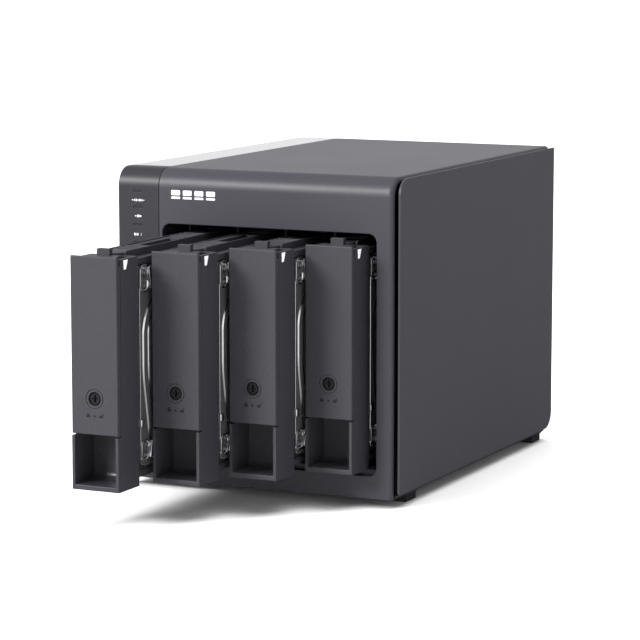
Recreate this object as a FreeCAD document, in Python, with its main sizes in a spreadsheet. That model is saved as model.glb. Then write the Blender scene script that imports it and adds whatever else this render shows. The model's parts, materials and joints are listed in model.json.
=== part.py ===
import FreeCAD, Part
import math
import os
import Sketcher

# Four-bay desktop drive enclosure. Millimetres, +X right seen from the front,
# +Y into the depth, +Z up. The chassis front plane is y = 0 while drawing; each
# sub-part's Placement then moves it by frontY, which centres the whole assembly,
# with its trays as far out as they rest, over the origin.

doc = FreeCAD.newDocument("DriveEnclosure")
sheet = doc.addObject("Spreadsheet::Sheet", "Dims")

dimensions = {
    # housing
    "caseWidth": 160, "caseDepth": 219, "caseHeight": 168.5, "floorZ": 5, "coverWall": 2.5,
    "topRadius": 10, "stripSeam": -55.8, "coverRight": 76.5, "edgeRound": 3, "seamY": 13.2,
    "panelWall": 1.2, "panelFront": 1.6, "panelBottom": 7.5, "panelTop": 167.8, "rearY": 216,
    "footSize": 13, "footX": 68.5, "footFrontY": 28, "footRearY": 207.5,
    # bay and trays
    "bayLeft": -54, "bayRight": 67.5, "bayBottom": 16.5, "bayTop": 140, "bayRadius": 4.5,
    "bayPitch": 28, "cageDepth": 174, "cageWall": 1,
    "faceWidth": 25.8, "faceBottom": 19.7, "faceTop": 135.1, "pocketTop": 46.8, "blockDepth": 20.9,
    "leverGap": 3.8, "blockTop": 133.8, "hingeY": 5.4, "hingeZ": 130.5, "lockZ": 65.4,
    "ribOffset": 12.7, "driveY": 21.6, "driveLength": 147, "driveWidth": 101.6, "driveBottom": 27,
    "driveLeft": -12.7, "driveCoverX": 11.9, "driveRight": 13.4,
    # electronics and fan
    "boardX": -63, "boardThick": 1.6, "fanX": 8, "fanZ": 80, "fanSize": 120, "fanDepth": 25,
    "switchZ": 100, "usbZ": 62, "inletZ": 36, "powerZ": 96,
    # where the trays rest
    "trayOne": -105.1, "trayTwo": -74.2, "trayThree": -45.7, "trayFour": -16.5,
    "frontY": -56.95,
}
for row, (alias, number) in enumerate(dimensions.items(), start=1):
    sheet.set(f"A{row}", alias)
    sheet.set(f"B{row}", str(number))
    sheet.setAlias(f"B{row}", alias)
doc.recompute()


class Dim:
    """A size that knows both its number and the expression that gives it."""

    def __init__(self, number, words):
        self.number = number
        self.words = words

    def __add__(self, other):
        other = asDim(other)
        return Dim(self.number + other.number, f"({self.words} + {other.words})")

    def __sub__(self, other):
        other = asDim(other)
        return Dim(self.number - other.number, f"({self.words} - {other.words})")

    def __rsub__(self, other):
        return asDim(other) - self

    def __mul__(self, factor):
        return Dim(self.number * factor, f"({self.words} * {factor})")

    def __neg__(self):
        return Dim(-self.number, f"(0 - {self.words})")

    __radd__ = __add__


def asDim(value):
    return value if isinstance(value, Dim) else Dim(float(value), f"({float(value)})")


def dim(alias):
    return Dim(float(dimensions[alias]), f"Dims.{alias}")


roles = {"X": "YZ_Plane", "Y": "XZ_Plane", "Z": "XY_Plane"}
subParts = {}


# ---- sketch helpers -------------------------------------------------------------
# A sketch is drawn on a plane across one axis. Its two directions are
# (y, z) across X, (x, z) across Y and (x, y) across Z.

def newBody(node, shiftX=0, shiftY=0):
    body = doc.addObject("PartDesign::Body", node + "_body")
    return finish(body, node, shiftX, shiftY)


def finish(thing, node, shiftX=0, shiftY=0):
    thing.Label = node
    thing.setExpression("Placement.Base.x", asDim(shiftX).words)
    thing.setExpression("Placement.Base.y", (asDim(shiftY) + dim("frontY")).words)
    subParts[node] = thing
    return thing


def newSketch(body, axis, place):
    sketch = body.newObject("Sketcher::SketchObject", body.Name + "_sketch")
    origin = [part for part in body.Origin.OriginFeatures if part.Role == roles[axis]][0]
    sketch.AttachmentSupport = [(origin, "")]
    sketch.MapMode = "FlatFace"
    distance = -asDim(place) if axis == "Y" else asDim(place)
    sketch.setExpression("AttachmentOffset.Base.z", distance.words)
    return sketch


def pin(sketch, kind, geometry, point, value):
    """Fix one coordinate of a point by an expression."""
    value = asDim(value)
    index = sketch.addConstraint(Sketcher.Constraint(kind, -1, 1, geometry, point, value.number))
    sketch.setExpression(f"Constraints[{index}]", value.words)


def flat(x, y):
    return FreeCAD.Vector(asDim(x).number, asDim(y).number, 0)


def polygon(sketch, points):
    first = sketch.GeometryCount
    count = len(points)
    for number, start in enumerate(points):
        end = points[(number + 1) % count]
        sketch.addGeometry(Part.LineSegment(flat(*start), flat(*end)), False)
    for number in range(count):
        following = first + (number + 1) % count
        sketch.addConstraint(Sketcher.Constraint("Coincident", first + number, 2, following, 1))
    for number, (x, y) in enumerate(points):
        pin(sketch, "DistanceX", first + number, 1, x)
        pin(sketch, "DistanceY", first + number, 1, y)


def rectangle(sketch, x0, y0, x1, y1):
    polygon(sketch, [(x0, y0), (x1, y0), (x1, y1), (x0, y1)])


def circle(sketch, x, y, radius):
    index = sketch.addGeometry(Part.Circle(flat(x, y), FreeCAD.Vector(0, 0, 1), asDim(radius).number), False)
    pin(sketch, "DistanceX", index, 3, x)
    pin(sketch, "DistanceY", index, 3, y)
    radiusRow = sketch.addConstraint(Sketcher.Constraint("Radius", index, asDim(radius).number))
    sketch.setExpression(f"Constraints[{radiusRow}]", asDim(radius).words)


def ringSlot(sketch, x, y, inner, outer, startDegrees, endDegrees):
    """A closed arc slot about (x, y), fixed by its corners."""
    start = math.radians(startDegrees)
    end = math.radians(endDegrees)
    centre = flat(x, y)
    up = FreeCAD.Vector(0, 0, 1)
    big = Part.ArcOfCircle(Part.Circle(centre, up, outer), start, end)
    small = Part.ArcOfCircle(Part.Circle(centre, up, inner), start, end)
    first = sketch.addGeometry(big, False)
    sketch.addGeometry(small, False)
    sketch.addGeometry(Part.LineSegment(small.StartPoint, big.StartPoint), False)
    sketch.addGeometry(Part.LineSegment(big.EndPoint, small.EndPoint), False)
    joins = [(first + 1, 1, first + 2, 1), (first + 2, 2, first, 1), (first, 2, first + 3, 1),
             (first + 3, 2, first + 1, 2)]
    for join in joins:
        sketch.addConstraint(Sketcher.Constraint("Coincident", *join))
    for arc in (first, first + 1):
        pin(sketch, "DistanceX", arc, 3, x)
        pin(sketch, "DistanceY", arc, 3, y)


def extrude(body, axis, start, end, draw, *shapes, cut=False):
    """Pad or pocket what draw puts on the sketch, from start to end along the axis."""
    sketch = newSketch(body, axis, start)
    for shape in shapes:
        draw(sketch, *shape)
    doc.recompute()
    before = body.Shape.Volume if cut else 0
    feature = body.newObject("PartDesign::Pocket" if cut else "PartDesign::Pad", body.Name + "_step")
    feature.Profile = sketch
    feature.Reversed = (axis == "Y") != cut
    feature.setExpression("Length", (asDim(end) - asDim(start)).words)
    body.Tip = feature
    doc.recompute()
    if cut and body.Shape.Volume > before - 1e-3:
        raise RuntimeError(f"a pocket of {body.Label} removes nothing")
    return feature


def pocket(body, axis, start, end, draw, *shapes):
    return extrude(body, axis, start, end, draw, *shapes, cut=True)


def roundEdges(body, radius, wanted, kind="Fillet"):
    """Round or chamfer the edges of the body's tip for which wanted(midpoint, direction) holds."""
    tip = body.Tip
    names = []
    for number, edge in enumerate(tip.Shape.Edges, start=1):
        middle = edge.valueAt((edge.FirstParameter + edge.LastParameter) / 2)
        direction = edge.tangentAt(edge.FirstParameter)
        if wanted(middle, direction, edge):
            names.append(f"Edge{number}")
    if not names:
        raise RuntimeError(f"no edge found on {body.Label}")
    feature = body.newObject("PartDesign::" + kind, body.Name + "_" + kind)
    feature.Base = (tip, names)
    feature.setExpression("Radius" if kind == "Fillet" else "Size", asDim(radius).words)
    body.Tip = feature
    doc.recompute()
    return feature


def near(value, target, gap=0.02):
    return abs(value - target) < gap


def box(name, x0, x1, y0, y1, z0, z1):
    solid = doc.addObject("Part::Box", name)
    low = [asDim(x0), asDim(y0), asDim(z0)]
    high = [asDim(x1), asDim(y1), asDim(z1)]
    for prop, start, end in zip(("Length", "Width", "Height"), low, high):
        solid.setExpression(prop, (end - start).words)
    for letter, start in zip("xyz", low):
        solid.setExpression("Placement.Base." + letter, start.words)
    return solid


def cylinder(name, axis, x, y, z, radius, length):
    """A cylinder that starts at (x, y, z) and runs along +axis."""
    solid = doc.addObject("Part::Cylinder", name)
    solid.setExpression("Radius", asDim(radius).words)
    solid.setExpression("Height", asDim(length).words)
    turns = {"X": FreeCAD.Rotation(FreeCAD.Vector(0, 1, 0), 90),
             "Y": FreeCAD.Rotation(FreeCAD.Vector(1, 0, 0), -90),
             "Z": FreeCAD.Rotation()}
    solid.Placement = FreeCAD.Placement(FreeCAD.Vector(), turns[axis])
    for letter, value in zip("xyz", (x, y, z)):
        solid.setExpression("Placement.Base." + letter, asDim(value).words)
    return solid


def fused(name, pieces):
    joined = doc.addObject("Part::MultiFuse", name)
    joined.Shapes = pieces
    return joined


def cutAway(name, base, tools):
    result = doc.addObject("Part::Cut", name)
    result.Base = base
    result.Tool = tools[0] if len(tools) == 1 else fused(name + "_tools", tools)
    return result


def group(node, pieces, shiftX=0, shiftY=0):
    """Separate solids that share one node."""
    together = doc.addObject("Part::Compound", node + "_group")
    together.Links = pieces
    return finish(together, node, shiftX, shiftY)


halfCase = dim("caseWidth") * 0.5
caseTop = dim("caseHeight")
caseDepth = dim("caseDepth")
wall = dim("coverWall")
floorZ = dim("floorZ")
seam = dim("stripSeam")
rearY = dim("rearY")


# ---- housing ----------------------------------------------------------------------

def topCorner(y):
    return lambda middle, direction, edge: near(abs(direction.x), 1) and near(middle.y, y[0]) and near(middle.z, y[1])


def makeCover(node, left, right, depth):
    """A front plate and a top plate in one, bent over the rounded top front edge."""
    body = newBody(node)
    inner = caseTop - wall
    outline = [(0, floorZ), (wall, floorZ), (wall, inner), (depth, inner), (depth, caseTop), (0, caseTop)]
    extrude(body, "X", left, right, polygon, [outline])
    roundEdges(body, dim("topRadius"), topCorner((0, caseTop.number)))
    roundEdges(body, dim("topRadius") - wall, topCorner((wall.number, inner.number)))
    return body


mainCover = makeCover("main_cover", seam, dim("coverRight"), caseDepth)
bayLow, bayHigh = dim("bayBottom"), dim("bayTop")
pocket(mainCover, "Y", -1, wall + 1, rectangle, (dim("bayLeft"), bayLow, dim("bayRight"), bayHigh))
bayCorners = [(dimensions[side], dimensions[level]) for side in ("bayLeft", "bayRight")
              for level in ("bayBottom", "bayTop")]


def isBayCorner(middle, direction, edge):
    return near(abs(direction.y), 1) and any(near(middle.x, x) and near(middle.z, z) for x, z in bayCorners)


def isCoverEdge(middle, direction, edge):
    onSide = near(middle.x, dimensions["coverRight"])
    outside = middle.y < 0.01 or middle.z > dimensions["caseHeight"] - 0.01
    corner = middle.y < 9 and middle.z > dimensions["caseHeight"] - 9 and not near(middle.y, 2.5, 0.1)
    bent = edge.Curve.TypeId == "Part::GeomCircle" and near(edge.Curve.Radius, dimensions["topRadius"])
    return onSide and (outside and edge.Length > 20 or corner and bent)


roundEdges(mainCover, dim("bayRadius"), isBayCorner)
roundEdges(mainCover, dim("edgeRound") * 0.8, isCoverEdge)
roundEdges(mainCover, 0.5, lambda middle, direction, edge: near(middle.y, 0) and edge.Length > 4
           and -54.5 < middle.x < 68.5 and 16 < middle.z < 140.5)

# The left strip: status panel in front, glossy strip behind it on the top.
windowX = buttonX = -68.5
windowZ = [156.2, 147.9, 138.6, 129.2, 119.8, 110.4]
statusPanel = makeCover("status_panel", -halfCase, seam - 0.3, dim("seamY"))
pocket(statusPanel, "Y", -1, wall + 1, rectangle,
       *[(windowX - 2.6, z - 0.6, windowX + 2.6, z + 0.6) for z in windowZ])
pocket(statusPanel, "Y", -1, wall + 1, circle, (buttonX, dim("powerZ"), 5.4))
roundEdges(statusPanel, 0.7, lambda middle, direction, edge: near(middle.x, -80) and
           (middle.y < 0.01 and edge.Length > 20 or edge.Curve.TypeId == "Part::GeomCircle"
            and near(edge.Curve.Radius, dimensions["topRadius"])))

topStrip = newBody("top_strip")
extrude(topStrip, "Z", caseTop - 2, caseTop, rectangle,
        (-halfCase, dim("seamY") + 0.5, seam - 0.3, caseDepth))
roundEdges(topStrip, 0.7, lambda middle, direction, edge: near(abs(direction.y), 1) and near(middle.z, 168.5)
           and near(middle.x, -80))


def makeSidePanel(node, outer, thickness, front, top):
    """A thin outer sheet with a lower inner frame set back all round, which leaves a shadow gap."""
    body = newBody(node)
    inward = -1 if outer.number > 0 else 1
    rim = dim("panelBottom")
    inner = outer + thickness * inward
    depth = caseDepth - 0.3
    low, high = (inner, outer) if outer.number > 0 else (outer, inner)
    extrude(body, "X", low, high, rectangle, (front, rim, depth, top))
    roundEdges(body, 9.5, lambda m, d, e: near(abs(d.x), 1) and near(m.z, 7.5) and m.y > 200)
    roundEdges(body, dim("topRadius") - 1.5, lambda m, d, e: near(abs(d.x), 1) and near(m.z, top.number) and m.y < 9)
    roundEdges(body, 1.5, lambda m, d, e: near(abs(d.x), 1) and near(m.z, 7.5) and m.y < 9)
    deep = inner + 1.6 * inward
    low, high = (deep, inner) if outer.number > 0 else (inner, deep)
    extrude(body, "X", low, high, rectangle, (front + 4, rim + 2, rearY, top - 4.5))
    pocket(body, "X", low, high, rectangle, (front + 6, rim + 4, rearY - 2, top - 6.5))
    return body


rightPanel = makeSidePanel("right_side_panel", halfCase, dim("panelWall"), dim("panelFront"), dim("panelTop"))
leftPanel = makeSidePanel("left_side_panel", -halfCase + 0.3, dim("panelWall"), wall + 0.3, caseTop - wall - 0.3)

basePan = newBody("base_pan")
panSide = halfCase - 3.6
extrude(basePan, "Z", floorZ, floorZ + 1.6, rectangle, (-panSide + 0.6, wall + 0.2, panSide, rearY))
pocket(basePan, "Z", floorZ - 1, floorZ + 3, rectangle,
       *[(-30 + 22 * column, 60 + 9 * line, -14 + 22 * column, 63 + 9 * line)
         for column in range(4) for line in range(12)])

rearPanel = newBody("rear_panel")
extrude(rearPanel, "Y", rearY, rearY + 1.5, rectangle,
        (-panSide + 0.4, floorZ + 1.8, panSide - 0.2, caseTop - wall - 0.2))
fanX, fanZ = dim("fanX"), dim("fanZ")
sector = [(fanX, fanZ, 12 + 7 * ring, 17 + 7 * ring, 4 + 30 / (2 + ring), 86 - 30 / (2 + ring))
          for ring in range(6)]
for quarter in range(4):
    turned = [(x, y, inner, outer, first + 90 * quarter, last + 90 * quarter)
              for x, y, inner, outer, first, last in sector]
    pocket(rearPanel, "Y", rearY - 1, rearY + 3, ringSlot, *turned)
portX = -69.5
pocket(rearPanel, "Y", rearY - 1, rearY + 3, rectangle,
       (portX - 4.9, dim("usbZ") - 2.0, portX + 4.9, dim("usbZ") + 2.0),
       (portX - 4.6, dim("switchZ") - 5.1, portX + 4.6, dim("switchZ") + 5.1),
       (portX - 3.5, 139, portX + 3.5, 142))
pocket(rearPanel, "Y", rearY - 1, rearY + 3, circle,
       (portX, dim("inletZ"), 4.2), (portX, dim("switchZ") + 14, 2.3))
fanBolts = [(fanX + sideX * 52.5, fanZ + sideZ * 52.5) for sideX in (-1, 1) for sideZ in (-1, 1)]
panelBolts = [(-60.0, 160.0), (30.0, 160.0), (71.0, 160.0), (71.0, 12.0), (-60.0, 12.0)]
pocket(rearPanel, "Y", rearY - 1, rearY + 3, circle, *[(x, z, 1.7) for x, z in fanBolts + panelBolts])


def screw(name, x, z, length):
    head = cylinder(name + "_head", "Y", x, rearY + 1.5, z, 3, 1.4)
    shank = cylinder(name + "_shank", "Y", x, rearY + 1.5 - length, z, 1.5, length)
    driver = [box(name + "_driver1", asDim(x) - 1.7, asDim(x) + 1.7, rearY + 2.3, rearY + 4,
                  asDim(z) - 0.35, asDim(z) + 0.35),
              box(name + "_driver2", asDim(x) - 0.35, asDim(x) + 0.35, rearY + 2.3, rearY + 4,
                  asDim(z) - 1.7, asDim(z) + 1.7)]
    return cutAway(name, fused(name + "_blank", [head, shank]), driver)


group("rear_screws", [screw(f"fanScrew{number}", x, z, 9) for number, (x, z) in enumerate(fanBolts)]
      + [screw(f"panelScrew{number}", x, z, 1.5) for number, (x, z) in enumerate(panelBolts)])


def foot(name, x, y):
    size = dim("footSize") * 0.5
    pad = box(name + "_pad", x - size, x + size, y - size, y + size, 0, 4)
    lip = box(name + "_lip", x - size - 0.8, x + size + 0.8, y - size - 0.8, y + size + 0.8, 4, floorZ)
    return fused(name, [pad, lip])


group("feet", [foot(f"foot{number}", side, depth) for number, (side, depth) in enumerate(
    (side, depth) for side in (dim("footX"), -dim("footX")) for depth in (dim("footFrontY"), dim("footRearY")))])

# ---- bay ----------------------------------------------------------------------------
cageLeft, cageRight = dim("bayLeft") - 1.4, dim("bayRight") + 1.4
cage = newBody("drive_cage")
sheetWall = dim("cageWall")
extrude(cage, "X", cageLeft, cageRight, rectangle, (wall + 0.3, floorZ + 1.6, dim("cageDepth"), bayHigh + 2.4))
pocket(cage, "Y", 0, dim("cageDepth") + 5, rectangle,
       (cageLeft + sheetWall, bayLow - 1.4, cageRight - sheetWall, bayHigh + 1.4),
       (cageLeft + sheetWall, floorZ, cageRight - sheetWall, bayLow - 2.4))


bayMiddle = (dim("bayLeft") + dim("bayRight")) * 0.5
trayX = [bayMiddle + dim("bayPitch") * (number - 1.5) for number in range(4)]


def rail(name, base0, base1, rib0, rib1):
    """A plate across the bay with a rib between each two trays and at both ends."""
    left, right = cageLeft + sheetWall, cageRight - sheetWall
    plate = box(name + "_plate", left + 0.1, right - 0.1, 4, 162, base0, base1)
    ribs = []
    for number in range(5):
        middle = bayMiddle + dim("bayPitch") * (number - 2.5) + dim("ribOffset")
        ribs.append(box(f"{name}_rib{number}", middle - 0.6, middle + 0.6, 24, 160, rib0, rib1))
    return fused(name, [plate] + ribs)


group("bay_rails", [rail("lowerRail", bayLow - 1.3, bayLow + 2.6, bayLow + 2, bayLow + 8),
                    rail("upperRail", bayHigh - 0.1, bayHigh + 1.3, bayHigh - 9, bayHigh)])

plateY = dim("cageDepth") - 1.6
backBoard = box("backBoard", cageLeft + 1.5, cageRight - 1.5, plateY, plateY + 1.6, bayLow + 8, bayHigh - 4)
slots = []
for number, middle in enumerate(trayX):
    shell = box(f"plug{number}_shell", middle - 9, middle - 3, dim("cageDepth") - 5, plateY, 37, 79)
    tongue = box(f"plug{number}_gap", middle - 7.6, middle - 4.4, dim("cageDepth") - 6, plateY - 0.6, 39, 77)
    slots.append(cutAway(f"plug{number}", shell, [tongue]))
group("backplane", [backBoard] + slots)

# ---- electronics ----------------------------------------------------------------------
boardX = dim("boardX")
board = box("boardPlate", boardX, boardX + dim("boardThick"), 16, rearY - 2, 14, 162)
chips = [("cpu", 14, 90, 70, 3), ("heatSink", 26, 130, 60, 8), ("memory1", 11, 90, 100, 1.4),
         ("memory2", 11, 108, 100, 1.4), ("coil1", 10, 170, 40, 6), ("coil2", 10, 170, 56, 6)]
parts = [board]
for name, size, y, z, tall in chips:
    parts.append(box(name, boardX - tall, boardX, y, y + size, z, z + size))
for number in range(4):
    parts.append(cylinder(f"capacitor{number}", "X", boardX - 9, 150 + 12 * number, 24, 3.8, 9))
for number, z in enumerate(windowZ):
    parts.append(box(f"lamp{number}", boardX - 2, boardX, 16.5, 19.5, z - 1, z + 1))
group("main_board", parts)

pipes = []
for number, z in enumerate(windowZ):
    bar = box(f"pipe{number}_bar", windowX - 2.5, windowX + 2.5, 0.1, 5, z - 0.5, z + 0.5)
    tail = box(f"pipe{number}_tail", windowX - 0.5, -63.6, 4, 16, z - 0.5, z + 0.5)
    pipes.append(fused(f"pipe{number}", [bar, tail]))
group("light_pipes", pipes)

usbZ = dim("usbZ")
usbPort = newBody("usb_c_port")
extrude(usbPort, "Y", rearY - 8, rearY + 0.8, rectangle, (portX - 4.4, usbZ - 1.6, portX + 4.4, usbZ + 1.6))
roundEdges(usbPort, 1.55, lambda m, d, e: near(abs(d.y), 1))
pocket(usbPort, "Y", rearY - 7, rearY + 1.5, rectangle, (portX - 3.9, usbZ - 1.1, portX + 3.9, usbZ + 1.1))
extrude(usbPort, "Y", rearY - 7.5, rearY - 0.4, rectangle, (portX - 3, usbZ - 0.35, portX + 3, usbZ + 0.35))
extrude(usbPort, "Y", rearY - 8, rearY - 3, rectangle, (portX + 4, usbZ - 1.2, boardX, usbZ + 1.2))

inletZ = dim("inletZ")
inlet = newBody("dc_inlet")
extrude(inlet, "Y", rearY - 12, rearY - 0.2, rectangle, (portX - 5.5, inletZ - 5.5, boardX, inletZ + 5.5))
extrude(inlet, "Y", rearY - 0.5, rearY + 1.6, circle, (portX, inletZ, 3.9))
pocket(inlet, "Y", rearY - 9, rearY + 3, circle, (portX, inletZ, 2.9))
extrude(inlet, "Y", rearY - 9.5, rearY + 0.6, circle, (portX, inletZ, 1.1))

switchZ = dim("switchZ")
switchBlock = newBody("mode_switch_block")
extrude(switchBlock, "Y", rearY - 7, rearY + 0.6, rectangle, (portX - 4.4, switchZ - 4.9, portX + 4.4, switchZ + 4.9))
pocket(switchBlock, "Y", rearY - 1.8, rearY + 1, rectangle,
       *[(portX - 2.4, switchZ + 3.2 * row - 0.9, portX + 2.4, switchZ + 3.2 * row + 0.9) for row in (-1, 0, 1)])
extrude(switchBlock, "Y", rearY - 7, rearY - 3, rectangle, (portX + 4, switchZ - 3, boardX, switchZ + 3))
for row in range(3):
    level = switchZ + 3.2 * (1 - row)
    slider = newBody(f"mode_slider_{row + 1}")
    extrude(slider, "Y", rearY - 1.75, rearY + 1.2, rectangle, (portX - 2.3, level - 0.8, portX - 0.3, level + 0.8))

buttonZ = switchZ + 14
setButton = newBody("set_button")
extrude(setButton, "Y", rearY - 3, rearY + 1.3, circle, (portX, buttonZ, 2.1))
extrude(setButton, "Y", rearY - 3.6, rearY - 2.8, circle, (portX, buttonZ, 2.8))

powerZ = dim("powerZ")
powerButton = newBody("power_button")
extrude(powerButton, "Y", 0.2, 6, circle, (buttonX, powerZ, 5.2))
extrude(powerButton, "Y", 4, 5, circle, (buttonX, powerZ, 7))
roundEdges(powerButton, 0.5, lambda m, d, e: near(m.y, 0.2) and e.Length > 20)

# ---- fan ----------------------------------------------------------------------------
fanHalf = dim("fanSize") * 0.5
fanFront = rearY - dim("fanDepth")
fanFrame = newBody("fan_frame")
extrude(fanFrame, "Y", fanFront, rearY, rectangle, (fanX - fanHalf, fanZ - fanHalf, fanX + fanHalf, fanZ + fanHalf))
roundEdges(fanFrame, 6, lambda m, d, e: near(abs(d.y), 1))
pocket(fanFrame, "Y", fanFront - 1, rearY + 1, circle, (fanX, fanZ, fanHalf - 2.2))
extrude(fanFrame, "Y", rearY - 3, rearY, circle, (fanX, fanZ, 21))
strut = [(fanX - 59, fanZ - 2, fanX + 59, fanZ + 2)]
extrude(fanFrame, "Y", rearY - 3, rearY, rectangle, *strut)
extrude(fanFrame, "Y", rearY - 3, rearY, rectangle, (fanX - 2, fanZ - 59, fanX + 2, fanZ + 59))
pocket(fanFrame, "Y", fanFront - 1, rearY + 1, circle, *[(x, z, 1.8) for x, z in fanBolts])
extrude(fanFrame, "Y", fanFront + 8, rearY - 2.5, circle, (fanX, fanZ, 2.0))

rotorPlace = FreeCAD.Vector(fanX.number, dimensions["rearY"] - dimensions["fanDepth"] + 1.5, fanZ.number)
yawAxis = FreeCAD.Vector(0, 1, 0)


def rotorShape():
    """A cup-shaped hub on its shaft with seven twisted blades."""
    start = rotorPlace
    solid = Part.makeCylinder(20, 18, start, yawAxis)
    solid = solid.cut(Part.makeCylinder(18.4, 17, start + FreeCAD.Vector(0, 2, 0), yawAxis))
    solid = solid.fuse(Part.makeCylinder(5, 16, start, yawAxis))
    solid = solid.cut(Part.makeCylinder(2.05, 18, start + FreeCAD.Vector(0, 4.5, 0), yawAxis))
    root = Part.makePolygon([FreeCAD.Vector(19.4, y, z) for y, z in
                             ((1, -6), (2.4, -6.6), (17.4, 5.4), (16, 6), (1, -6))])
    tip = Part.makePolygon([FreeCAD.Vector(54, y, z) for y, z in
                            ((4, -18), (5.2, -18.6), (14.8, 15.4), (13.6, 16), (4, -18))])
    blade = Part.makeLoft([root, tip], True, True)
    blade.translate(start)
    for number in range(7):
        turned = blade.copy()
        turned.rotate(start, yawAxis, 360 / 7 * number)
        solid = solid.fuse(turned)
    return solid


rotor = doc.addObject("Part::Feature", "fanRotor")
rotor.Shape = rotorShape()
finish(rotor, "fan_rotor")


# ---- trays ----------------------------------------------------------------------------
half = dim("faceWidth") * 0.5
faceLow, faceHigh, pocketTop = dim("faceBottom"), dim("faceTop"), dim("pocketTop")
blockDepth, gap, blockTop = dim("blockDepth"), dim("leverGap"), dim("blockTop")
hingeY, hingeZ, lockZ = dim("hingeY"), dim("hingeZ"), dim("lockZ")
driveY, driveLow = dim("driveY"), dim("driveBottom")
driveEnd = driveY + dim("driveLength")
driveHigh = driveLow + dim("driveWidth")
driveLeft = dim("driveLeft")
pegY = [driveEnd - 28.5, driveEnd - 130.1]


def makeCarrier(node, x, y):
    body = newBody(node, x, y)
    side = driveLeft - 0.25
    # front block, with the pocket frame flush with the lever's face
    extrude(body, "Y", gap, blockDepth, rectangle, (-half, faceLow, half, blockTop))
    extrude(body, "Y", 0, gap + 0.2, rectangle, (-half, faceLow, half, pocketTop))
    # finger pocket: its floor curves up into the back wall and it runs on up behind the lever's edge
    scoop = [(-1, faceLow + 2.6), (18.6, faceLow + 2.6), (18.6, 51), (16.4, 55), (12, 57), (-1, 57)]
    pocket(body, "X", -half + 1.5, half - 1.5, polygon, [scoop])
    roundEdges(body, 4, lambda m, d, e: near(abs(d.x), 1) and near(m.y, 18.6) and near(m.z, faceLow.number + 2.6))
    roundEdges(body, 0.5, lambda m, d, e: near(abs(d.x), 1) and near(m.y, 0) and near(m.z, faceLow.number + 2.6))
    # room for the hinge and the latch, open at the top
    pocket(body, "Y", gap - 1, 17, rectangle, (-11, 122, 11, blockTop + 1))
    # hollow behind the front wall and a clear hole for the lock's cam
    pocket(body, "Y", gap + 2.4, blockDepth + 1, rectangle, (-half + 1.8, 60, half - 1.8, 119.5))
    pocket(body, "Y", gap - 1, gap + 6, circle, (0, lockZ, 6.8))
    pocket(body, "X", -12.3, 12.3, circle, (hingeY, hingeZ, 1.04))
    # seat of the light guide
    wedge = [(6.9, 133.2), (7.2, 128.6), (9.2, 128.6), (11.1, 133.2)]
    pocket(body, "X", half - 0.5, half + 1, polygon, [wedge])
    # arms above and below the drive, and the vented plate beside it
    extrude(body, "Y", blockDepth - 2, 165, rectangle, (side - 1.2, driveHigh + 0.4, half - 1.5, driveHigh + 3.6),
            (side - 1.2, driveLow - 3.6, half - 1.5, driveLow - 0.4))
    extrude(body, "X", side - 1.2, side, rectangle, (blockDepth - 2, driveLow - 1, 165, driveHigh + 1))
    pocket(body, "X", side - 2, side + 1, rectangle,
           *[(34 + 31 * column, 36 + 47 * line, 57 + 31 * column, 74 + 47 * line)
             for column in range(4) for line in range(2)])
    pocket(body, "Z", driveLow - 5, driveLow, circle, *[(0, peg, 1.6) for peg in pegY])
    pocket(body, "Z", driveHigh, driveHigh + 5, circle, *[(0, peg, 1.6) for peg in pegY])
    pocket(body, "Y", blockDepth - 0.5, blockDepth + 0.6, rectangle, (driveLeft - 0.2, 62, half - 2.4, 118))
    roundEdges(body, 0.6, lambda m, d, e: near(abs(d.x), 1) and near(m.y, 0) and near(m.z, faceLow.number)
               and e.Length > 20)
    return body


def makeLever(node, x, y):
    body = newBody(node, x, y)
    # face plate with a shallow rim behind it, which ends level with the hinge
    extrude(body, "Y", 0, 2, rectangle, (-half, pocketTop + 0.8, half, faceHigh))
    extrude(body, "Y", 1.9, 3.5, rectangle, (-half, pocketTop + 0.8, half, hingeZ))
    pocket(body, "Y", 1.9, 3.6, rectangle, (-half + 1.6, pocketTop + 3, half - 1.6, hingeZ + 0.5))
    extrude(body, "Y", 1.8, 3.5, circle, (0, lockZ, 6))
    # a bridge over the spring carries two hinge ears and the latch tab
    extrude(body, "Y", 1.8, 12.4, rectangle, (-9, 133.1, 9, 134.7))
    extrude(body, "X", -9, -6.6, rectangle, (1.8, 127.7, 8.8, 134))
    extrude(body, "X", 6.6, 9, rectangle, (1.8, 127.7, 8.8, 134))
    extrude(body, "Y", 9.2, 12.4, rectangle, (-3.1, 133.3, 3.9, 138))
    pocket(body, "X", -10, 10, circle, (hingeY, hingeZ, 1.06))
    # lock bore with a fine groove round it
    pocket(body, "Y", -1, 5, circle, (0, lockZ, 3.45))
    pocket(body, "Y", -1, 0.4, circle, (0, lockZ, 4.95), (0, lockZ, 4.5))
    roundEdges(body, 0.6, lambda m, d, e: near(m.y, 0) and e.Length > 20 and not near(m.z, lockZ.number, 8))
    return body


def makeLock(node, x, y):
    body = newBody(node, x, y)
    # barrel that turns in the lever's bore, a narrower keyed face in front and a cam behind
    extrude(body, "Y", 1.7, 7, circle, (0, lockZ, 3.38))
    extrude(body, "Y", 0.5, 1.8, circle, (0, lockZ, 2.7))
    extrude(body, "Y", 6.9, 8.8, circle, (0, lockZ, 3))
    extrude(body, "Y", 7.2, 8.8, rectangle, (-1.4, lockZ, 1.4, lockZ + 6.2))
    pocket(body, "Y", -0.5, 2.2, rectangle, (-0.45, lockZ - 1.9, 0.45, lockZ + 1.9))
    pocket(body, "Y", -0.5, 1.3, rectangle, (-1.5, lockZ - 0.35, 1.5, lockZ + 0.35))
    return body


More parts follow.
